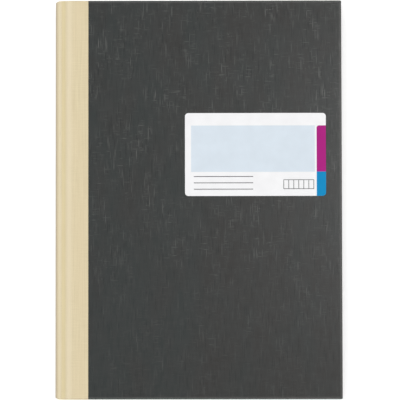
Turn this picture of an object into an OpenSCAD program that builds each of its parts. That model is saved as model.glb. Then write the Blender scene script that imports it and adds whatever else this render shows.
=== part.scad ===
// Casebound accounting ledger with a cloth spine, paper sides and a label on the front cover.
// It lies closed on its back cover. X runs from the spine to the fore edge, Y from the tail to the head.
// The origin is the middle of the underside, and sizes are in millimetres.

/* [Leaves] */
// Width of a leaf from its fold to the fore edge
leaf_w = 210; // [140:1:300]
// Height of a leaf from the tail to the head
leaf_h = 297; // [200:1:420]
// Thickness of one sewn signature
signature_t = 1.45; // [0.8:0.05:2.5]
// Air between neighbouring signatures
signature_gap = 0.05; // [0.02:0.01:0.2]
// Thickness of the endpapers
endpaper_t = 0.15; // [0.08:0.01:0.4]

/* [Covers] */
// Thickness of the boards
board_t = 2; // [1.2:0.1:4]
// Thickness of the cloth and of the side papers, which finish flush
covering_t = 0.25; // [0.15:0.05:0.5]
// Overhang of the covers beyond the leaves at the head, the tail and the fore edge
square = 3; // [1:0.5:6]
// Reach of the cloth over each cover, from the spine's outer face
cloth_w = 25; // [18:1:60]
// Width of the cloth and paper turned in over the edges of the boards
turn_in = 15; // [8:1:30]
// Rounding of each board's edge along the joint
board_edge_r = 1.2; // [0.4:0.1:2]
// Fillet of the cloth at the foot of the board's edge
joint_fillet_r = 0.5; // [0.2:0.1:0.8]
// Gap between the spine and a cover that is laid right back
laid_back_gap = 0.6; // [0.4:0.1:2]

/* [Spine] */
// Rounding of the spine's two shoulders
shoulder_r = 3; // [2:0.1:4]
// Drop from the crease of the cloth to the spine's shoulder
shoulder_drop = 0.3; // [0.25:0.05:1]
// Thickness of the spine inlay
inlay_t = 1; // [0.4:0.1:1.5]
// Empty depth of the hollow back
hollow_d = 1.55; // [1:0.05:4]
// Thickness of the paper lining
lining_t = 0.2; // [0.1:0.05:0.5]
// Space from the ends of the leaves to the ends of the lining
lining_margin = 4; // [0:1:20]
// Thickness of the gauze
gauze_t = 0.25; // [0.1:0.05:0.4]
// Reach of the gauze over each board
gauze_flange_w = 25; // [10:1:60]
// Space from the turned-in cloth to the ends of the gauze
gauze_margin = 5; // [1:1:30]

/* [Sewing] */
// Diameter of the thread
thread_d = 0.4; // [0.2:0.05:0.8]
// Length of one stitch along the spine
stitch_l = 30; // [10:1:40]
// Stitches along the spine of each signature
stitch_count = 5; // [2:1:6]
// Space from the ends of the gauze to the outer stitches
stitch_margin = 6; // [2:1:20]
// Diameter of the bead of the head and tail bands
band_d = 2; // [1:0.1:2.6]
// Thickness of the tape of the head and tail bands
band_tape_t = 0.3; // [0.2:0.05:0.6]
// Height of the tape of the head and tail bands below the bead
band_tape_h = 12; // [6:1:25]

/* [Label] */
// Width of the label
label_w = 107; // [40:0.1:150]
// Height of the label
label_h = 63.1; // [20:0.1:150]
// Corner radius of the label
label_r = 2.5; // [1:0.1:8]
// Thickness of the label
label_t = 0.12; // [0.08:0.01:0.3]
// Distance from the fore edge of the cover to the label
label_from_fore = 12.1; // [5:0.1:40]
// Distance from the head of the cover to the label
label_from_head = 86; // [10:0.5:110]

/* [Clearances] */
// Gap between faces that open against each other
opening_gap = 0.05; // [0.02:0.01:0.2]
// Gap between glued pieces of the spine
glue_gap = 0.05; // [0.02:0.01:0.15]
// Distance from the crease of the cloth to the folds of the leaves
fold_gap = 0.3; // [0.25:0.05:1]
// Gap between the rolled crease and the cloth that turns round it
crease_gap = 0.075; // [0.05:0.005:0.2]

/* [Hidden] */
$fn = 48;
signature_count = 12;
arc_steps = 8;
cut = 1;

// Depths through the spine, from its outer face to the folds of the leaves
inlay_x = covering_t + glue_gap;
inlay_back = inlay_x + inlay_t;
hollow_x = inlay_back + glue_gap + covering_t;
band_x = hollow_x + hollow_d;
lining_x = band_x + band_tape_t + glue_gap;
gauze_x = lining_x + lining_t + glue_gap;
thread_x = gauze_x + gauze_t + glue_gap + thread_d / 2;
fold_x = thread_x + thread_d / 2 + glue_gap;

// The crease is the line that a cover turns on, and the joint is the sunk strip beside it
crease_r = covering_t / 2;
crease_x = fold_x - fold_gap;
joint_x = crease_x + crease_r + crease_gap;
board_x = 2 * crease_x + laid_back_gap + covering_t;

// Outer sizes of the covers and of the boards inside them
leaf_end = fold_x + leaf_w;
cover_w = leaf_end + square;
cover_h = leaf_h + 2 * square;
board_end = cover_w - covering_t;
board_h = cover_h - 2 * covering_t;
turn_in_x = cover_w - turn_in;
turn_in_y = cover_h / 2 - turn_in;

// Heights through the closed ledger, from the underside to the front cover
sink = max(covering_t, gauze_t);
cover_t = covering_t + board_t + sink + endpaper_t;
back_flyleaf_z = cover_t + opening_gap;
leaf_base = back_flyleaf_z + endpaper_t + signature_gap;
signature_pitch = signature_t + signature_gap;
leaf_top = leaf_base + signature_count * signature_pitch;
block_top = leaf_top - signature_gap;
inner_z = leaf_top + endpaper_t + opening_gap;
board_z = inner_z + endpaper_t + sink;
board_top = board_z + board_t;
thickness = board_top + covering_t;
crease_z = board_z + crease_r;

// Roundings limited by the walls that carry them
edge_r = min(board_edge_r, board_t - covering_t - joint_fillet_r);
shoulder_top = crease_z - shoulder_drop;
shoulder_bottom = thickness - shoulder_top;
spine_end = crease_x + crease_r;
spine_r = min(shoulder_r, spine_end);
card_end = min(spine_r, band_x) - glue_gap;

// The sunk panel of each pastedown lies between the gauze and the turned-in edges
panel_x = board_x + gauze_flange_w;
gauze_l = 2 * (turn_in_y - gauze_margin);
stitch_pitch = (gauze_l - stitch_l - 2 * stitch_margin) / (stitch_count - 1);

cream_cloth = [0.87, 0.81, 0.68];
dark_paper = [0.27, 0.27, 0.27];
grey_board = [0.62, 0.58, 0.52];
kraft_paper = [0.70, 0.55, 0.38];
white_paper = [0.96, 0.96, 0.94];
leaf_paper = [0.93, 0.92, 0.87];
gauze_white = [0.88, 0.89, 0.86];
thread_white = [0.97, 0.97, 0.95];
band_cream = [0.90, 0.84, 0.70];
label_white = [0.97, 0.97, 0.97];

// Points along an arc, from one angle to another
function arc(centre, r, from, to) = [
    for (i = [0:arc_steps])
        centre + r * [cos(from + (to - from) * i / arc_steps), sin(from + (to - from) * i / arc_steps)]
];

// Moves the ledger from its spine's outer face to the middle of the underside
module placed() {
    translate([-cover_w / 2, 0, 0]) children();
}

// Turns a piece of the front cover into the same piece of the back cover
module back_side() {
    translate([0, 0, thickness]) mirror([0, 0, 1]) children();
}

// Box between two depths and two heights, centred on the middle of the page's height
module slab(x_from, x_to, length, z_from, z_to) {
    translate([x_from, -length / 2, z_from]) cube([x_to - x_from, length, z_to - z_from]);
}

// Runs a section, drawn in depth and height, along the spine
module along_spine(length) {
    rotate([90, 0, 0]) translate([0, 0, -length / 2]) linear_extrude(length) children();
}

// Section of a board, with its joint edge rounded
module board_section() {
    polygon(concat(
        [[board_x, board_z], [board_end, board_z], [board_end, board_top]],
        arc([board_x + edge_r, board_top - edge_r], edge_r, 90, 180)
    ));
}

// Section of the cloth from the crease to its edge on the cover, filled in where the board lies
module joint_section() {
    foot = [board_x - covering_t - joint_fillet_r, board_z + covering_t + joint_fillet_r];
    crown = [board_x + edge_r, board_top - edge_r];
    turned_x = board_x + covering_t;
    turned_z = board_z - covering_t;
    polygon(concat(
        [[joint_x, board_z], [joint_x, board_z + covering_t]],
        arc(foot, joint_fillet_r, -90, 0),
        arc(crown, edge_r + covering_t, 180, 90),
        [[cloth_w, thickness], [cloth_w, turned_z], [turned_x, turned_z], [turned_x, board_z]]
    ));
}

// Room inside the turned-in edges, up to the board's inner face
module turn_in_window() {
    slab(board_x - cut, turn_in_x, 2 * turn_in_y, inner_z - cut, board_z);
}

// Section of the spine with rounded shoulders, set in from its outer face
module spine_section(inset) {
    r = max(spine_r - inset, glue_gap);
    low = shoulder_bottom + inset;
    high = shoulder_top - inset;
    intersection() {
        union() {
            translate([inset + r, low + r]) circle(r);
            translate([inset + r, high - r]) circle(r);
            translate([inset, low + r]) square([spine_end - inset, high - low - 2 * r]);
            translate([inset + r, low]) square([spine_end - inset - r, high - low]);
        }
        translate([inset, low]) square([spine_end - inset, high - low]);
    }
}

// Layer of the spine between two depths
module spine_layer(from, to) {
    difference() {
        spine_section(from);
        spine_section(to);
    }
}

// Layer of the spine that stops short of the text block
module spine_card(from, to) {
    intersection() {
        spine_layer(from, to);
        translate([0, shoulder_bottom]) square([card_end, shoulder_top - shoulder_bottom]);
    }
}

// Rolled crease at one edge of the spine, and the web that joins it to the shoulder
module crease_section() {
    translate([crease_x, crease_z]) circle(crease_r);
    translate([crease_x - crease_r, shoulder_top - covering_t])
        square([2 * crease_r, crease_z - shoulder_top + covering_t]);
}

module board() {
    color(grey_board) along_spine(board_h) board_section();
}

module cover_paper() {
    color(dark_paper) difference() {
        slab(cloth_w, cover_w, cover_h, board_z - covering_t, thickness);
        along_spine(board_h) board_section();
        turn_in_window();
    }
}

module joint_cloth() {
    color(cream_cloth) difference() {
        along_spine(cover_h) joint_section();
        along_spine(board_h) board_section();
        turn_in_window();
    }
}

module gauze_flange() {
    color(gauze_white) slab(joint_x, panel_x, gauze_l, board_z - gauze_t, board_z);
}

module pastedown() {
    color(white_paper) {
        difference() {
            slab(joint_x, leaf_end, leaf_h, inner_z, inner_z + endpaper_t);
            slab(panel_x + endpaper_t, turn_in_x - endpaper_t, 2 * (turn_in_y - endpaper_t),
                inner_z - cut, board_z - endpaper_t);
        }
        difference() {
            slab(panel_x, turn_in_x, 2 * turn_in_y, inner_z, board_z);
            slab(panel_x + endpaper_t, turn_in_x - endpaper_t, 2 * (turn_in_y - endpaper_t),
                inner_z - cut, board_z - endpaper_t);
        }
    }
}

module flyleaf() {
    color(white_paper) slab(fold_x, leaf_end, leaf_h, leaf_top, leaf_top + endpaper_t);
}

// Signatures are counted from the front cover down
module signature(number) {
    low = leaf_base + (signature_count - number) * signature_pitch;
    fold_r = signature_t / 2;
    color(leaf_paper) along_spine(leaf_h) {
        translate([fold_x + fold_r, low + fold_r]) circle(fold_r);
        translate([fold_x + fold_r, low]) square([leaf_w - fold_r, signature_t]);
    }
}

module cover_label() {
    width = label_w - 2 * label_r;
    height = label_h - 2 * label_r;
    left = cover_w - label_from_fore - label_w;
    low = cover_h / 2 - label_from_head - label_h;
    color(label_white) translate([left, low, thickness]) linear_extrude(label_t) {
        translate([label_r, 0]) square([width, label_h]);
        translate([0, label_r]) square([label_w, height]);
        for (x = [label_r, label_w - label_r], y = [label_r, label_h - label_r])
            translate([x, y]) circle(label_r);
    }
}

module spine_cloth() {
    color(cream_cloth) {
        along_spine(cover_h) spine_layer(0, covering_t);
        along_spine(cover_h) crease_section();
        along_spine(cover_h) translate([0, thickness]) mirror([0, 1]) crease_section();
        for (side = [-1, 1]) {
            translate([0, side * (cover_h - covering_t) / 2, 0])
                along_spine(covering_t) spine_card(0, hollow_x);
            translate([0, side * (cover_h - turn_in) / 2, 0])
                along_spine(turn_in) spine_card(hollow_x - covering_t, hollow_x);
        }
    }
}

module spine_inlay() {
    color(kraft_paper) along_spine(board_h - 2 * glue_gap) spine_card(inlay_x, inlay_back);
}

module spine_lining() {
    color(kraft_paper) slab(lining_x, lining_x + lining_t, leaf_h - 2 * lining_margin, leaf_base, block_top);
}

module spine_gauze() {
    color(gauze_white) slab(gauze_x, gauze_x + gauze_t, gauze_l, leaf_base, block_top);
}

module sewing_thread() {
    color(thread_white)
        for (row = [0:signature_count - 1], stitch = [0:stitch_count - 1])
            translate([
                thread_x,
                (stitch - (stitch_count - 1) / 2) * stitch_pitch,
                leaf_base + signature_t / 2 + row * signature_pitch
            ])
                rotate([90, 0, 0]) cylinder(d = thread_d, h = stitch_l, center = true);
}

// Band at the head of the block: a bead above the leaves, and the tape that is glued to the spine
module end_band() {
    bead_y = leaf_h / 2 + opening_gap + band_d / 2;
    tape_foot = leaf_h / 2 - band_tape_h;
    color(band_cream) translate([band_x, 0, leaf_base]) {
        translate([band_d / 2, bead_y, 0]) cylinder(d = band_d, h = block_top - leaf_base);
        translate([0, tape_foot, 0]) cube([band_tape_t, bead_y - tape_foot, block_top - leaf_base]);
    }
}

placed() board();  // front_board
placed() cover_paper();  // front_cover_paper
placed() joint_cloth();  // front_joint_cloth
placed() gauze_flange();  // front_gauze_flange
placed() pastedown();  // front_pastedown
placed() cover_label();
placed() flyleaf();  // front_flyleaf
placed() signature(1);  // signature_01
placed() signature(2);  // signature_02
placed() signature(3);  // signature_03
placed() signature(4);  // signature_04
placed() signature(5);  // signature_05
placed() signature(6);  // signature_06
placed() signature(7);  // signature_07
placed() signature(8);  // signature_08
placed() signature(9);  // signature_09
placed() signature(10);  // signature_10
placed() signature(11);  // signature_11
placed() signature(12);  // signature_12
placed() back_side() flyleaf();  // back_flyleaf
placed() back_side() board();  // back_board
placed() back_side() cover_paper();  // back_cover_paper
placed() back_side() joint_cloth();  // back_joint_cloth
placed() back_side() gauze_flange();  // back_gauze_flange
placed() back_side() pastedown();  // back_pastedown
placed() spine_cloth();
placed() spine_inlay();
placed() spine_lining();
placed() spine_gauze();
placed() sewing_thread();
placed() end_band();  // head_band
placed() mirror([0, 1, 0]) end_band();  // tail_band
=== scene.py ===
# %% [markdown]
# A casebound accounting ledger, dressed in Blender.
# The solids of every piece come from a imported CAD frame, which is loaded first and never moved.
# Each step below gives one or more of those pieces the surface that the real ledger shows.

# %% Load the frame
import math
import random

import bmesh
import bpy
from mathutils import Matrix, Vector
from mathutils.geometry import delaunay_2d_cdt


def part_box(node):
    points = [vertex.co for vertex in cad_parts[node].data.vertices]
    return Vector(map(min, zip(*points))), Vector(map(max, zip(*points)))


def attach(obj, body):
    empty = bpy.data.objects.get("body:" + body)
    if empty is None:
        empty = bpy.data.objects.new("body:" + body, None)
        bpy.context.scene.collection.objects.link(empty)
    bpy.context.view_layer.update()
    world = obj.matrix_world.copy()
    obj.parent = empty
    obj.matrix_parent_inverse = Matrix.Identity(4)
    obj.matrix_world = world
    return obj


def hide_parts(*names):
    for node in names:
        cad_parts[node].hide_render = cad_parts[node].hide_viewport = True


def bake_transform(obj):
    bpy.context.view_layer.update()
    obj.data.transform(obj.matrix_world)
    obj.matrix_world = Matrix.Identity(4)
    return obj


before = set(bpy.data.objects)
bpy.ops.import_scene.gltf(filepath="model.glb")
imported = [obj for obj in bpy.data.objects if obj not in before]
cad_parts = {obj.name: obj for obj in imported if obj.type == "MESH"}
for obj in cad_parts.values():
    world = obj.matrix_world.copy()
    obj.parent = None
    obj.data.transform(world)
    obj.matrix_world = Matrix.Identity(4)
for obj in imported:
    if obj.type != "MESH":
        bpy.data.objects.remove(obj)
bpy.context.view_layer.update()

MM = 0.001

# %% [markdown]
# The ledger lies on its back cover. X runs from the spine to the fore edge, Y from the tail to the head.
# A bookbinder measures everything from the boards, so the sizes are read once from the frame's boxes.
# The back cover is the front cover mirrored in height, so one rule turns a front height into a back one.

# %% Sizes taken from the frame
side_low, side_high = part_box("front_cover_paper")
joint_low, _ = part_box("front_joint_cloth")
spine_low, spine_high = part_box("spine_cloth")
board_low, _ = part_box("front_board")
edge_x = side_high.x
edge_y = side_high.y
outer_z = side_high.z
inner_z = side_low.z
cloth_edge_x = side_low.x
FRONT, BACK = 1, -1


def cover_height(side, z):
    return z if side == FRONT else outer_z - z


print("cover in mm:", round((edge_x - spine_low.x) / MM, 2), "by", round(2 * edge_y / MM, 2))

# %% [markdown]
# The photograph looks almost straight down from far away, so the cover's edges stay nearly parallel.
# A long lens almost two and a half metres up gives that view, and a slight lean lines up the corners.

# %% Camera
camera_place = Vector((11.1, -139.1, 2433.8)) * MM
camera_lean = (3.288, 0.245, -0.086)
lens_length = 286.4
film_width = 36
far_limit = 100


def into_scene(thing):
    bpy.context.scene.collection.objects.link(thing)
    return thing


camera_data = bpy.data.cameras.new("view")
camera_data.lens = lens_length
camera_data.sensor_width = film_width
camera_data.clip_end = far_limit
camera = into_scene(bpy.data.objects.new("view", camera_data))
camera.location = camera_place
camera.rotation_euler = [math.radians(angle) for angle in camera_lean]
bpy.context.scene.camera = camera
bpy.context.scene.view_settings.view_transform = "Standard"
print("camera height in m:", round(camera.location.z, 3))

# %% [markdown]
# Every finish below is a small tree of shader nodes, so a few helpers keep the trees short.
# The first starts a material from its constant values, which sit on the shader's own sockets.
# The second adds one node, and takes each input as a plain value or as another node's output.
# The others are the steps that come up in every tree: a sum, a change of range, a link to the shader.


# %% Helpers for finishes
def new_finish(name, colour=(0.8, 0.8, 0.8), roughness=0.6, specular=0.3, sheen=0.0):
    material = bpy.data.materials.new(name)
    material.use_nodes = True
    tree = material.node_tree
    shader = tree.nodes["Principled BSDF"]
    shader.inputs["Base Color"].default_value = (*colour, 1)
    shader.inputs["Roughness"].default_value = roughness
    shader.inputs["Specular IOR Level"].default_value = specular
    shader.inputs["Sheen Weight"].default_value = sheen
    return material, tree


def add_node(tree, kind, inputs=None, **options):
    node = tree.nodes.new("ShaderNode" + kind)
    for option, value in options.items():
        setattr(node, option, value)
    for socket, value in (inputs or {}).items():
        if isinstance(value, bpy.types.NodeSocket):
            tree.links.new(value, node.inputs[socket])
        else:
            node.inputs[socket].default_value = value
    return node


def maths(tree, operation, first, second=0.0):
    return add_node(tree, "Math", {0: first, 1: second}, operation=operation).outputs[0]


def times(tree, first, second):
    return maths(tree, "MULTIPLY", first, second)


def remap(tree, value, low, high, to_low=0.0, to_high=1.0):
    limits = {"Value": value, "From Min": low, "From Max": high, "To Min": to_low, "To Max": to_high}
    return add_node(tree, "MapRange", limits).outputs[0]


def connect(tree, output, socket):
    tree.links.new(output, tree.nodes["Principled BSDF"].inputs[socket])


print("finish helpers ready")

# %% [markdown]
# The studio is a white sweep under soft light. Most of the light comes from everywhere, as under a tent
# that is brighter at the top. The camera and reflections see plain white instead, so the picture's ground
# is white without more light on the ledger. The floor does the same, and keeps the ledger's shadow.


# %% World
def background_rays(tree):
    rays = add_node(tree, "LightPath").outputs
    seen = maths(tree, "MAXIMUM", rays["Is Camera Ray"], rays["Is Glossy Ray"])
    return maths(tree, "MAXIMUM", seen, rays["Is Transmission Ray"])


tent_sides, tent_top = 0.55, 0.78
world = bpy.data.worlds.new("studio tent")
bpy.context.scene.world = world
world.use_nodes = True
tree = world.node_tree
tent = tree.nodes["Background"]
tent.inputs["Color"].default_value = (1, 1, 1, 1)
direction = add_node(tree, "SeparateXYZ", {0: add_node(tree, "TexCoord").outputs["Generated"]})
tree.links.new(remap(tree, direction.outputs["Z"], 0, 1, tent_sides, tent_top), tent.inputs["Strength"])
white = add_node(tree, "Background", {"Color": (1, 1, 1, 1), "Strength": 1.0})
sky = add_node(tree, "MixShader", {0: background_rays(tree), 1: tent.outputs[0], 2: white.outputs[0]})
tree.links.new(sky.outputs[0], tree.nodes["World Output"].inputs["Surface"])
print("tent strength at the sides and the top:", tent_sides, tent_top)

# %% Floor
floor_half = 12.0
floor_drop = 0.2 * MM
floor_grey = (0.7, 0.7, 0.7)
floor_glow = 0.5
floor_mesh = bpy.data.meshes.new("floor")
floor_corners = [(-1, -1), (1, -1), (1, 1), (-1, 1)]
floor_points = [(x * floor_half, y * floor_half, -floor_drop) for x, y in floor_corners]
floor_mesh.from_pydata(floor_points, [], [(0, 1, 2, 3)])
floor = into_scene(bpy.data.objects.new("floor", floor_mesh))

floor_finish, tree = new_finish("pale floor", floor_grey, roughness=1.0, specular=0.0)
tree.nodes["Principled BSDF"].inputs["Emission Color"].default_value = (1, 1, 1, 1)
connect(tree, times(tree, background_rays(tree), floor_glow), "Emission Strength")
floor_mesh.materials.append(floor_finish)
print("floor side in m:", 2 * floor_half)

# %% [markdown]
# Two softboxes finish the light. A large one at the upper left models the round edges. A small one at the
# right reaches only glossy rays: it is the veil that pales the dark paper towards the fore edge.


# %% Lamps
def softbox(name, place, aim, size, power):
    data = bpy.data.lights.new(name, "AREA")
    data.shape = "SQUARE"
    data.size = size
    data.energy = power
    lamp = into_scene(bpy.data.objects.new(name, data))
    lamp.location = place
    lamp.rotation_euler = (Vector(aim) - Vector(place)).to_track_quat("-Z", "Y").to_euler()
    lamp.visible_camera = False
    return lamp


key = softbox("key softbox", place=(-0.35, 0.3, 2.4), aim=(0, 0, 0), size=1.6, power=19)
veil = softbox("veil softbox", place=(0.28, 0.05, 0.42), aim=(0.12, 0.02, 0), size=0.24, power=2.8)
veil.visible_diffuse = False
print("lamp power in W:", key.data.energy, veil.data.energy)

# %% [markdown]
# Sheets of paper and cloth are the whole ledger, so the mesh helpers think in sheets.
# A loft joins rows of points into a skin. Every piece is made from points and faces by one helper, which
# merges points that fall together and shades smooth where faces meet at a blunt angle.

# %% Skins
smooth_below = 40
same_place = 1e-7


def loft(rows):
    across = len(rows[0])
    points = [point for row in rows for point in row]
    faces = []
    for i in range(len(rows) - 1):
        for j in range(across - 1):
            first = i * across + j
            faces.append((first, first + 1, first + across + 1, first + across))
    return points, faces


def make_piece(name, points, faces, finishes, face_finish=None, smooth=smooth_below, cloth_map=None):
    mesh = bpy.data.meshes.new(name)
    mesh.from_pydata(points, [], faces)
    for finish in finishes:
        mesh.materials.append(finish)
    if face_finish:
        mesh.polygons.foreach_set("material_index", face_finish)
    if cloth_map:
        layer = mesh.uv_layers.new(name="weave")
        for corner in mesh.loops:
            layer.data[corner.index].uv = cloth_map[corner.vertex_index]
    work = bmesh.new()
    work.from_mesh(mesh)
    bmesh.ops.remove_doubles(work, verts=work.verts, dist=same_place)
    bmesh.ops.recalc_face_normals(work, faces=work.faces)
    work.to_mesh(mesh)
    work.free()
    mesh.shade_smooth()
    mesh.set_sharp_from_angle(angle=math.radians(smooth))
    return into_scene(bpy.data.objects.new(name, mesh))


print("faces that meet at less than", smooth_below, "degrees are shaded smooth")

# %% [markdown]
# A skin gets its thickness inwards from the Solidify modifier, so the edges of a sheet come out as real
# edges. It is applied at once, because its new edges have to be marked as sharp on the final mesh.
# A finished piece is dressed: it rides on a body and stands for its CAD node.


# %% Thickness and dressing
def outward(piece, direction):
    biggest = max(piece.data.polygons, key=lambda face: face.area)
    if biggest.normal.dot(Vector(direction)) < 0:
        piece.data.flip_normals()


def thicken(piece, thickness):
    solid = piece.modifiers.new("thickness", "SOLIDIFY")
    solid.thickness = thickness
    solid.offset = -1
    solid.material_offset_rim = len(piece.data.materials) - 1
    skin = piece.data
    applied = piece.evaluated_get(bpy.context.evaluated_depsgraph_get())
    piece.data = bpy.data.meshes.new_from_object(applied)
    piece.data.name = piece.name
    piece.data.set_sharp_from_angle(angle=math.radians(smooth_below))
    piece.modifiers.clear()
    bpy.data.meshes.remove(skin)
    flat = piece.modifiers.new("even flats", "WEIGHTED_NORMAL")
    flat.keep_sharp = True


def make_sheet(name, points, faces, finishes, facing, thickness, cloth_map=None):
    piece = make_piece(name, points, faces, finishes, cloth_map=cloth_map)
    outward(piece, facing)
    thicken(piece, thickness)
    return piece


def dress(piece, body, slot, *nodes):
    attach(piece, body)
    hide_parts(*nodes)
    print(piece.name, "rides on", body, "with", len(piece.data.polygons), "faces")


print("sheet helpers ready")

# %% [markdown]
# Paper and cloth get their life from noise. Stretched along the grain it makes fibres, and spread wide it
# makes clouds. Noise seldom leaves the middle of its range, so one helper opens that middle out to a full
# share. The share then mixes a colour with its shade, or lifts the surface.

# %% Helpers for grain
usual_low, usual_high = 0.3, 0.7


def on_object(tree):
    return add_node(tree, "TexCoord").outputs["Object"]


def on_map(tree, name):
    return add_node(tree, "UVMap", uv_map=name).outputs[0]


def along_axes(tree, place):
    return add_node(tree, "SeparateXYZ", {0: place}).outputs


def stretched_noise(tree, place, grain, detail=2.0):
    scale = [1 / length for length in grain]
    stretched = add_node(tree, "Mapping", {"Vector": place, "Scale": scale})
    noise = add_node(tree, "TexNoise", {"Vector": stretched.outputs[0], "Scale": 1.0, "Detail": detail})
    return noise.outputs["Fac"]


def opened(tree, noise, to_low=0.0, to_high=1.0):
    return remap(tree, noise, usual_low, usual_high, to_low, to_high)


def mix_colours(tree, share, first, second):
    colours = [c if isinstance(c, bpy.types.NodeSocket) else (*c, 1) for c in (first, second)]
    return add_node(tree, "Mix", {0: share, 6: colours[0], 7: colours[1]}, data_type="RGBA").outputs[2]


def tint(tree, noise, colour, shade):
    shaded = [shade * c for c in colour]
    connect(tree, mix_colours(tree, opened(tree, noise), shaded, colour), "Base Color")


def raise_surface(tree, height, depth, strength=1.0):
    bump = add_node(tree, "Bump", {"Height": height, "Distance": depth, "Strength": strength})
    connect(tree, bump.outputs["Normal"], "Normal")


print("noise between", usual_low, "and", usual_high, "is opened out to a full share")

# %% [markdown]
# Linen is known by its threads. Plain noise would make wavy, leaning streaks, so the sheet is first cut
# into lanes one thread wide. Each lane reads a noise of its own along the thread, which decides where it
# shows. A thread fades out at the sides of its lane. A bundle averages two widths of lanes: a soft band.

# %% Threads in lanes
UPRIGHT = ("X", "Y")
CROSSWISE = ("Y", "X")
lane_shift = 100
fade = 0.3
wider, longer = 1.6, 1.3


def lanes(tree, place, direction, pitch, length):
    axes = along_axes(tree, place)
    across, along = direction
    lane = maths(tree, "DIVIDE", axes[across], pitch)
    number = maths(tree, "FLOOR", lane)
    start = add_node(tree, "TexWhiteNoise", {"W": number}, noise_dimensions="1D").outputs["Value"]
    run = maths(tree, "DIVIDE", axes[along], length)
    own = maths(tree, "ADD", run, times(tree, start, lane_shift))
    noise = add_node(tree, "TexNoise", {"W": own, "Scale": 1.0, "Detail": 1.0}, noise_dimensions="1D")
    return lane, noise.outputs["Fac"]


def threads(tree, place, direction, pitch, length, low, high):
    lane, shows = lanes(tree, place, direction, pitch, length)
    body = remap(tree, maths(tree, "PINGPONG", lane, 0.5), 0.0, fade)
    return times(tree, remap(tree, shows, low, high), body)


def bundles(tree, place, direction, pitch, length):
    _, narrow = lanes(tree, place, direction, pitch, length)
    _, wide = lanes(tree, place, direction, wider * pitch, longer * length)
    return times(tree, maths(tree, "ADD", narrow, wide), 0.5)


print("axes across and along an upright thread:", *UPRIGHT)

# %% [markdown]
# In plain weave each thread goes over one crossing thread and under the next. At half a millimetre to a
# thread that is too fine to model, so it is a bump: ridges that rise and dip along a wave, neighbours half
# a wave apart. A slow wobble keeps the rows from looking drawn with a ruler.

# %% Plain weave
wobble_reach = 8
wobble_share = 0.6


def woven_threads(tree, across, along, phase):
    ridge = maths(tree, "ABSOLUTE", maths(tree, "SINE", times(tree, across, math.pi)))
    beat = maths(tree, "ADD", along, maths(tree, "ADD", maths(tree, "FLOOR", across), phase))
    over = maths(tree, "COSINE", times(tree, beat, math.pi))
    return times(tree, ridge, remap(tree, over, -1, 1))


def plain_weave(tree, place, pitch):
    reach = wobble_reach * pitch
    wobble = times(tree, stretched_noise(tree, place, (reach, reach, 1)), wobble_share)
    axes = along_axes(tree, place)
    columns = maths(tree, "ADD", maths(tree, "DIVIDE", axes["X"], pitch), wobble)
    rows = maths(tree, "ADD", maths(tree, "DIVIDE", axes["Y"], pitch), wobble)
    warp = woven_threads(tree, columns, rows, 0.5)
    weft = woven_threads(tree, rows, columns, -0.5)
    return maths(tree, "MAXIMUM", warp, weft)


print("a weave wobbles over", wobble_reach, "threads")

# %% [markdown]
# The sides are covered with dark paper that is printed and embossed like linen: thin pale threads, mostly
# upright with a few across, and pale knots where two thick threads meet. They gather in patches, and are
# calmer towards the tail. Each kind of thread is named by its lane's width, the length of a run, and the
# noise at which it starts to show and at which it is full.

# %% Pale threads of the linen
fine_upright = (0.9 * MM, 15 * MM, 0.56, 0.78)
fine_cross = (0.9 * MM, 10 * MM, 0.57, 0.82)
thick_thread = (1.3 * MM, 8 * MM, 0.46, 0.66)
cross_share, knot_share = 0.8, 0.6
patch_size = (14 * MM, 30 * MM, 30 * MM)
calm_below = -0.6 * edge_y
calm_share = 0.4


def pale_threads(tree, place):
    upright = threads(tree, place, UPRIGHT, *fine_upright)
    cross = times(tree, threads(tree, place, CROSSWISE, *fine_cross), cross_share)
    warp = threads(tree, place, UPRIGHT, *thick_thread)
    weft = threads(tree, place, CROSSWISE, *thick_thread)
    knots = times(tree, times(tree, warp, weft), knot_share)
    return maths(tree, "MAXIMUM", maths(tree, "MAXIMUM", upright, cross), knots)


def lively_patches(tree, place):
    patches = remap(tree, stretched_noise(tree, place, patch_size), 0.36, 0.64)
    calmer = remap(tree, along_axes(tree, place)["Y"], calm_below, 0.0, calm_share, 1.0)
    return times(tree, patches, calmer)


print("fine threads in mm:", round(fine_upright[0] / MM, 2), "wide")

# %% [markdown]
# Under the threads the paper is almost black, cool beside the cloth and warmer towards the fore edge.
# Broad soft bands run both ways. The three free edges are paler: wear, and a painted highlight on their
# round.

# %% Ground of the linen
linen_cool = (0.0250, 0.0302, 0.0292)
linen_warm = (0.0277, 0.0266, 0.0248)
# Paler edge colour: wear, and a painted highlight where the rounded edges catch the light
linen_band = (0.036, 0.038, 0.037)
cooler, warmer = -0.45, 0.5
column_share, row_share = 0.45, 0.25
broad_row = (2.2 * MM, 22 * MM)
cloud_size = (20 * MM, 45 * MM, 45 * MM)
scuff_size = (0.6 * MM, 0.6 * MM, 0.6 * MM)
rub_and_light_from, rub_and_light_full = 2.2 * MM, 0.2 * MM


def linen_ground(tree, place, columns):
    cloudy = remap(tree, stretched_noise(tree, place, cloud_size), 0.35, 0.65)
    fore = remap(tree, along_axes(tree, place)["X"], cloth_edge_x, edge_x, cooler, warmer)
    ground = mix_colours(tree, maths(tree, "ADD", cloudy, fore), linen_cool, linen_warm)
    rows = bundles(tree, place, CROSSWISE, *broad_row)
    upright_bands = remap(tree, columns, 0.36, 0.64, 0, column_share)
    cross_bands = remap(tree, rows, 0.4, 0.64, 0, row_share)
    return mix_colours(tree, maths(tree, "ADD", upright_bands, cross_bands), ground, linen_band)


# Paler near the fore edge, head and tail: wear, and a painted highlight on the rounded edges
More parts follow.
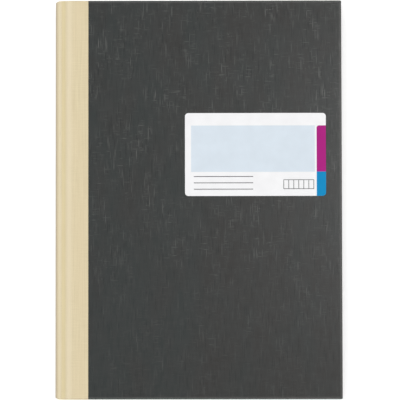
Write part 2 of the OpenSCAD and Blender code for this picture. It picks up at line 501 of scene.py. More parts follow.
def rubbed_edges(tree, place):
    axes = along_axes(tree, place)
    from_fore_edge = maths(tree, "SUBTRACT", edge_x, axes["X"])
    from_ends = maths(tree, "SUBTRACT", edge_y, maths(tree, "ABSOLUTE", axes["Y"]))
    nearest = maths(tree, "MINIMUM", from_fore_edge, from_ends)
    scuffs = remap(tree, stretched_noise(tree, place, scuff_size, detail=4.0), 0.25, 0.8, 0.25, 0.8)
    return times(tree, remap(tree, nearest, rub_and_light_from, rub_and_light_full), scuffs)


print("edges are rubbed over mm:", round(rub_and_light_from / MM, 1))

# %% [markdown]
# The paper puts these layers together: the ground, then dark sunken threads, then the pale threads, then
# the pale edges, worn and painted with a highlight. Raised threads are a little smoother, so they catch
# the light. A fine embossed weave lies over everything. The cut edge of the paper, which shows at its rim,
# is plain grey fibre.

# %% Dark linen paper
linen_sunk = (0.0165, 0.0185, 0.018)
linen_thread = (0.090, 0.092, 0.087)
linen_rubbed_and_lit = (0.15, 0.148, 0.14)
sunken_thread = (1.4 * MM, 14 * MM, 0.47, 0.24)
broad_column = (2.4 * MM, 20 * MM)
pale_least, pale_most = 0.06, 0.95
sunk_least, sunk_most = 0.3, 0.8
ground_rough, thread_rough = 0.44, 0.36
emboss_pitch = 0.55 * MM
emboss_share = 0.7
core_grey = (0.30, 0.30, 0.29)


def linen_paper():
    material, tree = new_finish("dark linen paper", roughness=0.42, specular=0.14)
    place = on_object(tree)
    columns = bundles(tree, place, UPRIGHT, *broad_column)
    lively = lively_patches(tree, place)
    gathered = times(tree, lively, remap(tree, columns, 0.36, 0.6))
    shown = remap(tree, gathered, 0, 1, pale_least, pale_most)
    pale = times(tree, pale_threads(tree, place), shown)
    sunken = threads(tree, place, UPRIGHT, *sunken_thread)
    sunk = times(tree, sunken, remap(tree, lively, 0, 1, sunk_least, sunk_most))
    darker = mix_colours(tree, sunk, linen_ground(tree, place, columns), linen_sunk)
    threaded = mix_colours(tree, pale, darker, linen_thread)
    # The pale edges paint wear together with the highlight of the rounded edges
    rubbed_and_lit = mix_colours(tree, rubbed_edges(tree, place), threaded, linen_rubbed_and_lit)
    connect(tree, rubbed_and_lit, "Base Color")
    connect(tree, remap(tree, pale, 0, 1, ground_rough, thread_rough), "Roughness")
    emboss = times(tree, plain_weave(tree, place, emboss_pitch), emboss_share)
    relief = maths(tree, "ADD", maths(tree, "SUBTRACT", pale, sunken), emboss)
    raise_surface(tree, relief, depth=0.05 * MM, strength=0.6)
    return material


def cut_fibres():
    material, tree = new_finish("cut edge of the side paper", core_grey, roughness=0.9, specular=0.1)
    fibre = stretched_noise(tree, on_object(tree), (0.3 * MM, 0.3 * MM, 0.1 * MM), detail=3.0)
    tint(tree, fibre, core_grey, shade=0.75)
    raise_surface(tree, fibre, depth=0.02 * MM, strength=0.5)
    return material


linen = linen_paper()
paper_core = cut_fibres()
print("nodes in the linen paper:", len(linen.node_tree.nodes))

# %% [markdown]
# A side paper is one sheet: it runs over the board and is turned in at the head, tail and fore edge.
# It is drawn as a profile carried along those edges, and one more face closes the middle of the cover.
# At the two corners the turned-in flaps meet in a mitre, so a corner's stations fall on its diagonal.

# %% Edge profile of a cover
turn_in = 15 * MM
edge_radius = 0.8 * MM
corner_radius = 1.0 * MM
ARC_STEPS = 5
quarter = [math.pi / 2 * step / ARC_STEPS for step in range(ARC_STEPS + 1)]


def edge_profile(low, high, radius, inset):
    under = [(radius - radius * math.sin(a), low + radius - radius * math.cos(a)) for a in quarter]
    over = [(radius - radius * math.cos(a), high - radius + radius * math.sin(a)) for a in quarter]
    return [(turn_in, low), *under, *over, (inset, high)]


def corner_point(end, angle, inset):
    if inset >= corner_radius:
        return edge_x - inset, end * (edge_y - inset)
    reach = corner_radius - inset
    x = edge_x - corner_radius + reach * math.cos(angle)
    return x, end * (edge_y - corner_radius + reach * math.sin(angle))


print("turn-in of the sides in mm:", round(turn_in / MM, 1))

# %% Side papers
paper_t = 0.2 * MM
face_inset = 6 * MM


def side_paper(name, side):
    profile = edge_profile(inner_z, outer_z, edge_radius, face_inset)
    rows = []
    for end in (-1, 1):
        straight = [(cloth_edge_x, end * (edge_y - u), cover_height(side, z)) for u, z in profile]
        turned = []
        for a in quarter:
            turned.append([(*corner_point(end, a, u), cover_height(side, z)) for u, z in profile])
        rows += [straight, *reversed(turned)] if end < 0 else [*turned, straight]
    points, faces = loft(rows)
    ends = (0, 1, len(rows) - 2, len(rows) - 1)
    middle = [(row + 1) * len(profile) - 1 for row in ends]
    return make_sheet(name, points, [*faces, middle], [linen, paper_core], (0, 0, side), paper_t)


dress(side_paper("front_side_paper", FRONT), "cover_front", "cover_paper", "front_cover_paper")
dress(side_paper("back_side_paper", BACK), "cover_back", "cover_paper", "back_cover_paper")

# %% [markdown]
# Spine and joints are covered by one strip of cream calico in plain weave, tinted by thicker threads.
# Where the cloth is pressed into the joint it is a little deeper in tone. On the spine's shoulder and the
# board's edge it is paler: a painted highlight where the rounds face the light. The back of the
# spine is darker: painted shade on its steep round side. Each of these is a stripe along the spine.
# The weave has to follow the cloth round its folds, so it reads a map that is laid along the cloth.

# %% Tones of the calico
cream_shade = (0.735, 0.628, 0.408)
cream_light = (0.815, 0.708, 0.48)
cream_warm = (0.785, 0.66, 0.44)
cream_pressed = (0.775, 0.668, 0.385)
# Painted highlight on the spine's shoulder and the board's edge
cream_highlight = (0.84, 0.735, 0.525)
# Painted shade on the back of the spine, where its round side turns from the light
cream_back_shade = (0.60, 0.515, 0.385)
cream_gap = (0.56, 0.46, 0.29)
# Middle and half width of each stripe
groove_stripe = (spine_high.x + 1.9 * MM, 2.4 * MM)
ridge_stripe = (board_low.x + 1.0 * MM, 3.2 * MM)
shoulder_stripe = (spine_low.x + 3.2 * MM, 1.5 * MM)
back_stripe = (spine_low.x, 2.2 * MM)
print("middle of the groove in mm:", round(groove_stripe[0] / MM, 2))

# %% Cream calico
calico_pitch = 0.5 * MM
stripe_core = 0.3
pressed_share, highlight_share, back_shade_share = 0.6, 0.8, 0.8


def stripe(tree, middle, half):
    from_middle = maths(tree, "SUBTRACT", along_axes(tree, on_object(tree))["X"], middle)
    return remap(tree, maths(tree, "ABSOLUTE", from_middle), half, stripe_core * half)


# Pressed joint tone, then a painted highlight on shoulder and board's edge, then painted shade on the back
def worn_cloth(tree, tone):
    pressed = times(tree, stripe(tree, *groove_stripe), pressed_share)
    tone = mix_colours(tree, pressed, tone, cream_pressed)
    # Painted highlight where the shoulder and the board's edge face the light
    rubbed_and_lit = maths(tree, "MAXIMUM", stripe(tree, *ridge_stripe), stripe(tree, *shoulder_stripe))
    tone = mix_colours(tree, times(tree, rubbed_and_lit, highlight_share), tone, cream_highlight)
    # Painted shade on the back of the spine
    back_shade = times(tree, stripe(tree, *back_stripe), back_shade_share)
    return mix_colours(tree, back_shade, tone, cream_back_shade)


def calico():
    material, tree = new_finish("cream calico", roughness=0.85, specular=0.06)
    place = on_map(tree, "weave")
    weave = plain_weave(tree, place, calico_pitch)
    slub = stretched_noise(tree, place, (0.9 * MM, 30 * MM, 1))
    cross = stretched_noise(tree, place, (14 * MM, 0.8 * MM, 1))
    thick = maths(tree, "ADD", opened(tree, slub), opened(tree, cross, to_high=0.6))
    tone = mix_colours(tree, remap(tree, thick, 0.3, 1.3), cream_shade, cream_light)
    cloudy = stretched_noise(tree, place, (12 * MM, 60 * MM, 1))
    tone = mix_colours(tree, remap(tree, cloudy, 0.35, 0.65, 0, 0.5), tone, cream_warm)
    gaps = remap(tree, weave, 0.1, 0.6, 0.3, 0.0)
    connect(tree, mix_colours(tree, gaps, worn_cloth(tree, tone), cream_gap), "Base Color")
    relief = maths(tree, "ADD", weave, times(tree, thick, 0.4))
    raise_surface(tree, relief, depth=0.07 * MM, strength=0.8)
    return material


cream = calico()
print("nodes in the calico:", len(cream.node_tree.nodes))

# %% [markdown]
# Seen from the end, the cloth leaves the crease, crosses the sunk joint, climbs over the board's edge in
# one soft rise and lies on the board until the side paper laps over it. Each point of that path carries
# one row along the spine, which goes round both ends and comes back inside. Front and back are mirror
# images. The map for the weave is measured on the same rows: along the path, and along the row.


# %% Rows of cloth and their map
def ease(share):
    return share * share * (3 - 2 * share)


def wrapped_row(surface, inward, depth, drawn_in=0.0):
    radius = min(edge_radius, depth / 2)
    profile = edge_profile(0, depth, radius, radius)[:-1]
    ends = [(-(edge_y - drawn_in - u), depth - h) for u, h in profile]
    ends += [(-y, d) for y, d in reversed(ends)]
    return [surface + Vector((0, y, 0)) + inward * d for y, d in ends]


def map_cloth(rows):
    middle = len(rows[0]) // 2
    run = 0.0
    places = []
    for k, row in enumerate(rows):
        run += (row[middle] - rows[k - 1][middle]).length if k else 0.0
        steps = [(after - before).length for before, after in zip(row, row[1:])]
        down = -sum(steps) / 2
        places.append((run, down))
        for step in steps:
            down += step
            places.append((run, down))
    return places


print("rows of cloth are turned in by mm:", round(turn_in / MM, 1))

# %% Joint cloth
cloth_t = 0.1 * MM
lap = 0.1 * MM
# At the crease the cloth dips just below the hinge line, which leaves room for it to fold back on itself
crease_z = spine_high.z - 0.15 * MM
groove_z = board_low.z + 0.25 * MM
rise_start = joint_low.x + 1.6 * MM
rise_end = board_low.x + 0.8 * MM
RISE_STEPS = 12


def joint_path():
    top = outer_z - lap
    path = [(joint_low.x, crease_z)]
    for step in range(RISE_STEPS + 1):
        share = step / RISE_STEPS
        x = rise_start + (rise_end - rise_start) * share
        path.append((x, groove_z + (top - groove_z) * ease(share)))
    return [*path, ((rise_end + cloth_edge_x) / 2, top), (cloth_edge_x, top)]


def joint_cloth(name, side):
    rows = []
    for x, z in joint_path():
        surface = Vector((x, 0, cover_height(side, z)))
        rows.append(wrapped_row(surface, Vector((0, 0, -side)), z - inner_z - lap))
    return make_sheet(name, *loft(rows), [cream], (0, 0, side), cloth_t, map_cloth(rows))


dress(joint_cloth("front_hinge_cloth", FRONT), "cover_front", "spine_cloth", "front_joint_cloth")
dress(joint_cloth("back_hinge_cloth", BACK), "cover_back", "spine_cloth", "back_joint_cloth")

# %% [markdown]
# Over the spine the same cloth is stretched on a card, with round shoulders, and turned in at its ends.
# Its path runs from one crease to the other. The fold at the ends is as deep as cloth, card and turn-in
# together, and thins out towards the creases, where there is cloth alone. The binder also draws the ends
# in a little at the back, so the corners of the spine are round when seen from the front.

# %% Path round the spine
shoulder_radius = 3 * MM
shoulder_drop = 0.425 * MM
RAMP_STEPS = 5


def spine_half():
    shoulder_z = spine_high.z - shoulder_drop
    ramp_start = spine_low.x + shoulder_radius
    half = []
    for step in range(RAMP_STEPS):
        share = 1 - step / RAMP_STEPS
        rise = (crease_z - shoulder_z) * ease(share)
        half.append(Vector((ramp_start + (spine_high.x - ramp_start) * share, 0, shoulder_z + rise)))
    for a in quarter:
        x = ramp_start - shoulder_radius * math.sin(a)
        half.append(Vector((x, 0, shoulder_z - shoulder_radius * (1 - math.cos(a)))))
    return half


def spine_path():
    half = spine_half()
    return half + [Vector((point.x, 0, outer_z - point.z)) for point in reversed(half)]


print("points on the path round the spine:", len(spine_path()))

# %% Spine cloth
card_depth = 1.6 * MM
crease_depth = 0.42 * MM
cap_draw = 0.8 * MM
cap_reach = 2.6 * MM


def spine_rows():
    path = spine_path()
    rows = []
    for k, point in enumerate(path):
        run = path[min(k + 1, len(path) - 1)] - path[max(k - 1, 0)]
        inward = Vector((-run.z, 0, run.x)).normalized()
        from_back = point.x - spine_low.x
        thin = min(max((from_back - card_depth) / card_depth, 0), 1)
        depth = card_depth + (crease_depth - card_depth) * thin
        drawn_in = cap_draw * (1 - ease(min(from_back / cap_reach, 1)))
        rows.append(wrapped_row(point, inward, depth, drawn_in))
    return rows


rows = spine_rows()
spine_wrap = make_sheet("spine_wrap_cloth", *loft(rows), [cream], (-1, 0, 0), cloth_t, map_cloth(rows))
dress(spine_wrap, "text_block", "spine_cloth", "spine_cloth")

# %% [markdown]
# The label is coated paper, with no thread or fibre to be seen. It is printed in flat inks, so one finish
# serves them all: the colour is hardly clouded, and a very fine grain breaks up the gloss.

# %% Label inks
grain_of_coat = (0.25 * MM, 0.25 * MM, 0.25 * MM)
cloud_of_coat = (9 * MM, 9 * MM, 9 * MM)


def coated_paper(name, colour, roughness=0.5):
    material, tree = new_finish(name, colour, roughness, specular=0.05)
    place = on_object(tree)
    grain = stretched_noise(tree, place, grain_of_coat, detail=3.0)
    tint(tree, stretched_noise(tree, place, cloud_of_coat), colour, shade=0.96)
    connect(tree, opened(tree, grain, roughness - 0.05, roughness + 0.07), "Roughness")
    raise_surface(tree, grain, depth=0.01 * MM, strength=0.4)
    return material


label_white = coated_paper("label white", (0.945, 0.945, 0.955))
label_panel = coated_paper("label panel blue", (0.72, 0.80, 0.875))
label_plum = coated_paper("label plum", (0.425, 0.011, 0.215))
label_cyan = coated_paper("label cyan", (0.0005, 0.264, 0.562))
label_grey = coated_paper("label grey", (0.07, 0.07, 0.075))
inks = [label_white, label_panel, label_plum, label_cyan, label_grey]
print("label inks:", [ink.name for ink in inks])

# %% [markdown]
# The label has rounded corners, a pale panel to write on and two colour blocks at its right edge.
# A shader could paint the printed areas, but faces cut along their outlines stay sharp at any distance.
# So each area is an outline and an ink, in millimetres from the label's upper left corner.

# %% Printed areas of the label
label_low, label_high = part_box("cover_label")
label_w = (label_high.x - label_low.x) / MM
label_h = (label_high.y - label_low.y) / MM
label_radius, block_radius = 2.5, 1.8
panel_left, panel_right, panel_foot = 4.65, 98.65, 44.8
block_left, block_top, block_split = 99.95, 9.5, 44.6
SHARP = [0, 0, 0, 0]


def rounded(left, top, right, bottom, radii):
    outline = []
    corners = [(right, top, 0), (left, top, 1), (left, bottom, 2), (right, bottom, 3)]
    for (x, y, turn), radius in zip(corners, radii):
        centre_x = x - math.copysign(radius, x - (left + right) / 2)
        centre_y = y - math.copysign(radius, y - (top + bottom) / 2)
        for a in quarter if radius else [0]:
            angle = a + turn * math.pi / 2
            outline.append((centre_x + radius * math.cos(angle), centre_y - radius * math.sin(angle)))
    return outline


areas = [
    (rounded(0, 0, label_w, label_h, [label_radius] * 4), label_white),
    (rounded(panel_left, block_top, panel_right, panel_foot, SHARP), label_panel),
    (rounded(block_left, block_top, label_w, block_split, [0, block_radius, 0, 0]), label_plum),
    (rounded(block_left, block_split, label_w, label_h, [0, 0, 0, label_radius]), label_cyan),
]
print("label in mm:", round(label_w, 1), "by", round(label_h, 1))

# %% [markdown]
# Below the panel the label has plain things to fill in: three writing rules and a row of number boxes.
# Each rule and each bar of the boxes is one more printed area, listed after the ones that it lies on.

# %% Rules and boxes on the label
rule_t = 0.55
rule_left, rule_right = 6.7, 51.7
rule_feet = (48.6, 53.4, 58.2)
box_left, box_top = 74.7, 50.6
box_w, box_h, box_count = 3.8, 6.84, 6
bar_t = 0.45
for foot in rule_feet:
    areas.append((rounded(rule_left, foot - rule_t, rule_right, foot, SHARP), label_grey))
box_right = box_left + box_count * box_w + bar_t
box_foot = box_top + box_h
for top in (box_top, box_foot):
    areas.append((rounded(box_left, top, box_right, top + bar_t, SHARP), label_grey))
for k in range(box_count + 1):
    left = box_left + k * box_w
    areas.append((rounded(left, box_top, left + bar_t, box_foot + bar_t, SHARP), label_grey))
print("printed areas on the label:", len(areas))

# %% [markdown]
# A triangulation that keeps the outlines as edges cuts the label's face, and tells for each triangle
# which areas it lies in. The area that was printed last gives the ink. The rim of the triangles is then
# carried down to the cover, which makes the label a closed sheet.

# %% Cut the label along its print
KEEP_INSIDE = 1
cut_tolerance = 1e-5


def printed_face():
    points, outlines = [], []
    for outline, _ in areas:
        outlines.append(range(len(points), len(points) + len(outline)))
        points += [Vector(point) for point in reversed(outline)]
    flat, _, triangles, _, _, owners = delaunay_2d_cdt(points, [], outlines, KEEP_INSIDE, cut_tolerance)
    places = [(label_low.x + x * MM, label_high.y - y * MM, label_high.z) for x, y in flat]
    return places, triangles, [max(owner) for owner in owners]


def rim_of(triangles):
    sides = {(face[k], face[(k + 1) % 3]) for face in triangles for k in range(3)}
    after = dict(side for side in sides if side[::-1] not in sides)
    rim = [min(after)]
    while after[rim[-1]] != rim[0]:
        rim.append(after[rim[-1]])
    return rim


print("an area's number says when it was printed, from 0 to", len(areas) - 1)


# %% Label sheet
def label_sheet():
    points, triangles, last_printed = printed_face()
    face_finish = [inks.index(areas[k][1]) for k in last_printed]
    rim = rim_of(triangles)
    start, count = len(points), len(rim)
    points += [(points[k][0], points[k][1], label_low.z) for k in rim]
    walls = []
    for k in range(count):
        after = (k + 1) % count
        walls.append((rim[after], rim[k], start + k, start + after))
    under = [start + k for k in reversed(range(count))]
    face_finish += [0] * (count + 1)
    return make_piece("front_label", points, [*triangles, *walls, under], inks, face_finish)


dress(label_sheet(), "cover_front", "label", "cover_label")

# %% [markdown]
# Gauze, lining and thread are carried over from the frame with their own shapes. They are almost hidden,
# but each still gets a finish with the grain of its stuff. One recipe of stretched fibres does for all,
# also for board, card and endpaper: what differs is the colour and the length of the fibre.


# %% Fibrous finishes
def fibrous(name, colour, spread, grain, roughness=0.85, depth=0.03 * MM):
    material, tree = new_finish(name, colour, roughness, specular=0.15)
    fibre = stretched_noise(tree, on_object(tree), grain, detail=4.0)
    tint(tree, fibre, colour, shade=1 - spread)
    connect(tree, opened(tree, fibre, roughness, roughness - 0.12), "Roughness")
    raise_surface(tree, fibre, depth, strength=0.5)
    return material


grey_board = fibrous("grey board", (0.36, 0.33, 0.28), 0.35, (0.5 * MM, 0.5 * MM, 0.12 * MM))
gauze = fibrous("sized gauze", (0.75, 0.76, 0.72), 0.4, (0.9 * MM, 0.9 * MM, 0.9 * MM))
spine_card = fibrous("spine card", (0.45, 0.34, 0.21), 0.3, (0.6 * MM, 4 * MM, 0.6 * MM))
kraft = fibrous("kraft lining", (0.42, 0.26, 0.13), 0.3, (0.5 * MM, 6 * MM, 0.5 * MM))
thread = fibrous("linen thread", (0.86, 0.85, 0.79), 0.25, (0.2 * MM, 0.5 * MM, 0.2 * MM))
print("fibrous finishes: board, gauze, card, lining, thread")


# %% Gauze, lining and thread
def finish_node(node, material):
    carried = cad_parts[node]
    if not carried.material_slots:
        carried.data.materials.append(material)
    for place in carried.material_slots:
        place.material = material
    print(node, "keeps its shape, finished as", material.name)


for node in ("front_gauze_flange", "back_gauze_flange", "spine_gauze"):
    finish_node(node, gauze)
finish_node("spine_lining", kraft)
finish_node("sewing_thread", thread)

# %% [markdown]
# The boards are grey board, cut square. Their edges are eased a little where the covering bends round
# them, so each board is its CAD box with bevelled edges, and the covers lie close on it.

# %% Boards
board_easing = 0.8 * MM
EASING_STEPS = 4


def eased_board(name, node):
    low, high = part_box(node)
    work = bmesh.new()
    bmesh.ops.create_cube(work, size=1)
    bmesh.ops.scale(work, vec=high - low, verts=work.verts)
    bmesh.ops.translate(work, vec=(low + high) / 2, verts=work.verts)
    bmesh.ops.bevel(
        work, geom=work.edges, offset=board_easing, segments=EASING_STEPS, profile=0.5, affect="EDGES"
    )
    points = [tuple(vert.co) for vert in work.verts]
    faces = [[vert.index for vert in face.verts] for face in work.faces]
    work.free()
    return make_piece(name, points, faces, [grey_board])


dress(eased_board("front_stiff_board", "front_board"), "cover_front", "grey_board", "front_board")
dress(eased_board("back_stiff_board", "back_board"), "cover_back", "grey_board", "back_board")

# %% [markdown]
# The spine card is a flexible strip that is bent with the cloth round the shoulders. It is lofted on the
# same quarter circles as the cloth, and is as much shorter as the cloth is drawn in at its ends.

# %% Spine card
card_low, card_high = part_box("spine_inlay")
card_t = 1.0 * MM
card_half = card_high.y - cap_draw


def card_rows():
    bend = shoulder_radius - (card_low.x - spine_low.x)
    half = []
    for a in quarter:
        half.append((card_low.x + bend * (1 - math.sin(a)), card_high.z - bend * (1 - math.cos(a))))
    path = half + [(x, outer_z - z) for x, z in reversed(half)]
    return [[(x, -card_half, z), (x, card_half, z)] for x, z in path]


card = make_sheet("spine_stiff_card", *loft(card_rows()), [spine_card], (-1, 0, 0), card_t)
dress(card, "text_block", "spine_card", "spine_inlay")

# %% [markdown]
# Each endpaper is a folded white sheet: one half is pasted to the board, the other is the flyleaf.
# A pastedown shows what it covers, because the turned-in edges and the gauze lift it by their thickness.
# So its height is a formula over the board, and its grid has lines only where that height changes.
# Beside the spine the sheet starts at the crease, where its fold hides the cut edge of the cloth.

# %% Height of a pastedown
paste_low, paste_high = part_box("front_pastedown")
_, gauze_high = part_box("front_gauze_flange")
endpaper_t = 0.15 * MM
sunk_depth = paste_high.z - paste_low.z - endpaper_t
soften = 0.7 * MM


def beyond(value, limit):
    return ease(min(max((value - limit) / (2 * soften) + 0.5, 0), 1))


def lift(x, y):
    over_turn_in = max(beyond(abs(y), edge_y - turn_in), beyond(x, edge_x - turn_in))
    over_gauze = min(1 - beyond(x, gauze_high.x), 1 - beyond(abs(y), gauze_high.y))
    return max(over_turn_in, over_gauze)


def step_lines(low, high, steps):
    lines = {low, high}
    for step in steps:
        lines.update(step + soften * share for share in (-1, -0.5, 0, 0.5, 1))
    return sorted(lines)


print("a pastedown sinks by mm:", round(sunk_depth / MM, 3))

# %% Pastedowns
fold_out = 0.03 * MM
endpaper_grain = (1.2 * MM, 1.2 * MM, 1.2 * MM)
endpaper = fibrous("endpaper", (0.88, 0.88, 0.85), 0.05, endpaper_grain, roughness=0.75, depth=0.015 * MM)


def pastedown(name, side):
    ends = [end * limit for end in (-1, 1) for limit in (edge_y - turn_in, gauze_high.y)]
    columns = step_lines(paste_low.x, paste_high.x, (gauze_high.x, edge_x - turn_in))
    rows = []
    for y in step_lines(paste_low.y, paste_high.y, ends):
        path = [(x, paste_low.z + sunk_depth * (1 - lift(x, y))) for x in columns]
        path.insert(0, (paste_low.x - fold_out, crease_z - fold_out))
        rows.append([(x, y, cover_height(side, z)) for x, z in path])
    return make_sheet(name, *loft(rows), [endpaper], (0, 0, -side), endpaper_t)


dress(pastedown("front_pasted_endpaper", FRONT), "cover_front", "endpaper", "front_pastedown")
dress(pastedown("back_pasted_endpaper", BACK), "cover_back", "endpaper", "back_pastedown")

# %% [markdown]
# The leaves are squared paper, five millimetres to a square. The lines of a page are drawn from a map
# laid on the page, so that they stay with it when it is turned. They start two squares from the fold,
# because a bound book can't be written in up to its gutter.

# %% Squared page
square = 5 * MM
line_half = 0.018
gutter = 9.8 * MM
line_strength = 0.55
page_shade = (0.84, 0.835, 0.78)
page_light = (0.88, 0.875, 0.82)
line_blue = (0.33, 0.43, 0.52)


def squared_page():
    material, tree = new_finish("squared page", roughness=0.8, specular=0.15)
    place = on_map(tree, "page")
    axes = along_axes(tree, place)
    lines = []
    for axis in ("X", "Y"):
        from_line = maths(tree, "PINGPONG", maths(tree, "DIVIDE", axes[axis], square), 0.5)
        lines.append(maths(tree, "LESS_THAN", from_line, line_half))
    past_gutter = maths(tree, "GREATER_THAN", axes["X"], gutter)
    line = times(tree, maths(tree, "MAXIMUM", *lines), times(tree, past_gutter, line_strength))
    fibre = stretched_noise(tree, place, (0.8 * MM, 1.6 * MM, 1), detail=4.0)
    paper = mix_colours(tree, opened(tree, fibre), page_shade, page_light)
    connect(tree, mix_colours(tree, line, paper, line_blue), "Base Color")
    connect(tree, opened(tree, fibre, 0.84, 0.74), "Roughness")
    raise_surface(tree, fibre, depth=0.012 * MM, strength=0.4)
    return material


page = squared_page()
print("squares of the page in mm:", round(square / MM, 1))

# %% [markdown]
# Twelve sewn sections of sixteen leaves make the block. On its cut edges every leaf shows as a line, a
# little darker or paler than the next one, with nicks from the trimming knife. The map of these edges
# runs along the leaf and across the leaves, so noise one leaf high gives each its own tone.

# %% Cut edges of the leaves
SECTIONS, LEAVES = 12, 16
first_low, first_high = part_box("signature_01")
leaf_t = (first_high.z - first_low.z) / LEAVES
edge_shade = (0.76, 0.75, 0.69)
edge_light = (0.93, 0.92, 0.87)


def cut_edges():
    material, tree = new_finish("cut leaf edges", roughness=0.85, specular=0.1)
    place = on_map(tree, "page")
    leaf_tone = stretched_noise(tree, place, (60 * MM, leaf_t, 1), detail=1.0)
    nicks = stretched_noise(tree, place, (2 * MM, 0.5 * leaf_t, 1), detail=3.0)
    tone = maths(tree, "ADD", opened(tree, leaf_tone), opened(tree, nicks, to_high=0.5))
    connect(tree, mix_colours(tree, remap(tree, tone, 0.2, 1.3), edge_shade, edge_light), "Base Color")
    raise_surface(tree, tone, depth=0.03 * MM, strength=0.6)
    return material


edges = cut_edges()
print("leaf thickness in mm:", round(leaf_t / MM, 3))

# %% [markdown]
# A section is built leaf by leaf: each leaf ends a hair's breadth from its neighbours, as in a trimmed
# block, and the back of the section is round where the leaves are folded. The loops of all leaves, one
# above the other, are joined into one closed piece. Its flat faces are pages, its sides are cut edges.

# %% Stack of leaves
stack_smooth = 30


def page_map(piece, fold_x):
    layer = piece.data.uv_layers.new(name="page")
    for face in piece.data.polygons:
        for corner in face.loop_indices:
            x, y, z = piece.data.vertices[piece.data.loops[corner].vertex_index].co
            layer.data[corner].uv = (x - fold_x, y) if face.material_index == 0 else (x + y, z)


def stack_piece(name, loops, finishes):
    around = len(loops[0])
    points = [point for loop in loops for point in loop]
    faces = []
    for ring in range(len(loops) - 1):
        for k in range(around):
            after = (k + 1) % around
            low, high = ring * around, (ring + 1) * around
            faces.append([low + k, low + after, high + after, high + k])
    sides = len(faces)
    for base in (0, (len(loops) - 1) * around):
        for k in range(around // 2 - 1):
            faces.append([base + k, base + k + 1, base + around - 2 - k, base + around - 1 - k])
    face_finish = [1] * sides + [0] * (len(faces) - sides)
    piece = make_piece(name, points, faces, finishes, face_finish, stack_smooth)
    page_map(piece, loops[0][0][0])
    return piece


print("leaves in a section:", LEAVES)

# %% [markdown]
# The sections that turn have extra lines beside the fold, so that they can bend there. The lines start
# just past the round back of the section.

# %% Leaves of a section
random.seed(12)
trim = 0.18 * MM
bend_reach = 7 * MM
back_share = 0.6
BEND_LINES = 16


def bend_start(low, high):
    return low.x + (high.z - low.z) * back_share


def leaf_loop(z, fold_x, fold_y, bend_lines, end_x, end_y):
    tail = [(fold_x, -fold_y, z)]
    tail += [(x, -end_y, z) for x in (*bend_lines, end_x)]
    return tail + [(x, -y, z) for x, y, z in reversed(tail)]


def leaf_stack(name, node, leaves, finishes, bends):
    low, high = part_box(node)
    round_r = (high.z - low.z) / 2
    middle = (low.z + high.z) / 2
    shares = [k / BEND_LINES for k in range(BEND_LINES + 1)] if bends else []
    lines = [bend_start(low, high) + bend_reach * share for share in shares]
    loops = []
    for leaf in range(leaves):
        end_x = high.x - random.uniform(0, trim)
        end_y = high.y - random.uniform(0, trim)
        for level in (leaf, leaf + 1):
            z = low.z + (high.z - low.z) * level / leaves
            hollow = round_r - math.sqrt(max(round_r ** 2 - (z - middle) ** 2, 0))
            loops.append(leaf_loop(z, low.x + hollow, high.y - trim, lines, end_x, end_y))
    return stack_piece(name, loops, finishes)


print("a turning section bends over mm:", round(bend_reach / MM, 1))


# %% Sections
def turn_over(piece, parent, child, slot, node):
    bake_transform(piece)
    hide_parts(node)
    print(piece.name, "bends from", parent, "to", child)


turning = {
    1: ("second_section", "first_section"),
    2: ("third_section", "second_section"),
    3: ("text_block", "third_section"),
}
for number in range(1, SECTIONS + 1):
    node = f"signature_{number:02d}"
    section = leaf_stack(f"section_{number:02d}", node, LEAVES, [page, edges], number in turning)
    if number in turning:
        turn_over(section, *turning[number], "leaf_paper", node)
    else:
        dress(section, "text_block", "leaf_paper", node)

# %% [markdown]
# The flyleaves are single sheets of the same white endpaper. The front one is the leaf under the cover:
# it gets lines at its fold like the sections that turn. The back one stays on the block.

# %% Flyleaves
front_fly = leaf_stack("front_fly_sheet", "front_flyleaf", 1, [endpaper, endpaper], True)
turn_over(front_fly, "first_section", "flyleaf_front", "endpaper", "front_flyleaf")
back_fly = leaf_stack("back_fly_sheet", "back_flyleaf", 1, [endpaper, endpaper], False)
dress(back_fly, "text_block", "endpaper", "back_flyleaf")

# %% [markdown]
# Every page is numbered at its outer upper corner. Only pages where the ledger can be opened are seen, so
# they alone get their numbers: the first page of a section on its top, the last on its underside.
# A text curve with a trace of depth gives the figures, and its mesh rides with the page like a print.

# %% Page numbers
figure_h = 3.2 * MM
figure_t = 0.008 * MM
figure_margin = 9 * MM
figure_ink = coated_paper("page number ink", (0.10, 0.11, 0.13), roughness=0.7)


def page_number(number, node, body, upper):
    low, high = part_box(node)
    curve = bpy.data.curves.new("figures", "FONT")
    curve.body = str(number)
    curve.size = figure_h
    curve.extrude = figure_t
    curve.align_x = "RIGHT" if upper else "LEFT"
    text = bpy.data.objects.new("figures", curve)
    piece = bpy.data.objects.new(f"page_number_{number:03d}", bpy.data.meshes.new_from_object(text))
    bpy.data.objects.remove(text)
    piece.data.materials.append(figure_ink)
    place = Vector((high.x - figure_margin, high.y - figure_margin, high.z if upper else low.z))
    piece.location = place + Vector((0, 0, figure_t if upper else -figure_t))
    piece.rotation_euler.y = 0 if upper else math.pi
    into_scene(piece)
    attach(piece, body)


opening = {1: "first_section", 2: "second_section", 3: "third_section", 4: "text_block"}
for number, body in opening.items():
    node = f"signature_{number:02d}"
    page_number(2 * LEAVES * (number - 1) + 1, node, body, True)
    if number in turning:
        page_number(2 * LEAVES * number, node, body, False)
print("numbered sections:", list(opening))

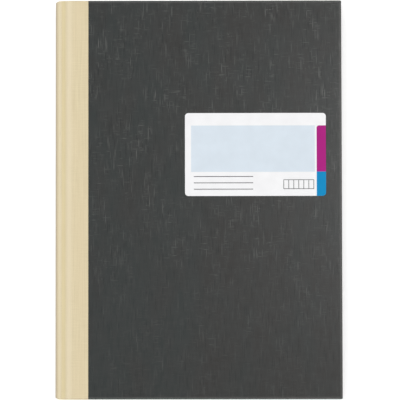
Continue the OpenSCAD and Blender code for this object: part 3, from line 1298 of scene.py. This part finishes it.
# %% [markdown]
# Head and tail bands are cords whipped with thread, and each shows a row of ribs at its end of the spine.
# A rib is a ring that swells and sinks along the cord, and every second rib is wound in the paler thread.


# %% Band threads
def silk(name, colour):
    material, tree = new_finish(name, colour, roughness=0.5, specular=0.4, sheen=0.2)
    strand = stretched_noise(tree, on_object(tree), (2 * MM, 2 * MM, 0.12 * MM))
    tint(tree, strand, colour, shade=0.78)
    raise_surface(tree, strand, depth=0.05 * MM, strength=0.6)
    return material


band_cream = silk("band cream thread", (0.74, 0.62, 0.40))
band_white = silk("band white thread", (0.86, 0.84, 0.76))
print("band threads:", band_cream.name, "and", band_white.name)

# %% Head and tail bands
RIB_RINGS, RIB_SIDES = 5, 20
rib_pitch = 0.9 * MM
cord_radius = 1.0 * MM
rib_waist = 0.82
band_smooth = 70


def band_row(ring, axis_x, axis_y, z):
    swell = math.sin(math.pi * (ring % RIB_RINGS) / RIB_RINGS)
    radius = cord_radius * (rib_waist + (1 - rib_waist) * swell)
    angles = [math.tau * k / RIB_SIDES for k in range(RIB_SIDES + 1)]
    return [(axis_x + radius * math.cos(a), axis_y + radius * math.sin(a), z) for a in angles]


def band(name, node, end):
    low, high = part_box(node)
    axis_x = low.x + cord_radius
    axis_y = end * (max(abs(low.y), abs(high.y)) - cord_radius)
    rings = round((high.z - low.z) / rib_pitch) * RIB_RINGS
    rows, face_finish = [], []
    for ring in range(rings + 1):
        rows.append(band_row(ring, axis_x, axis_y, low.z + (high.z - low.z) * ring / rings))
        face_finish += [ring // RIB_RINGS % 2] * RIB_SIDES
    points, faces = loft(rows)
    first = list(range(RIB_SIDES))
    last = list(range(len(points) - RIB_SIDES - 1, len(points) - 1))
    face_finish = face_finish[:len(faces)] + [0, 0]
    faces += [first, last]
    return make_piece(name, points, faces, [band_cream, band_white], face_finish, band_smooth)


dress(band("head_band_cord", "head_band", 1), "text_block", "end_band", "head_band")
dress(band("tail_band_cord", "tail_band", -1), "text_block", "end_band", "tail_band")
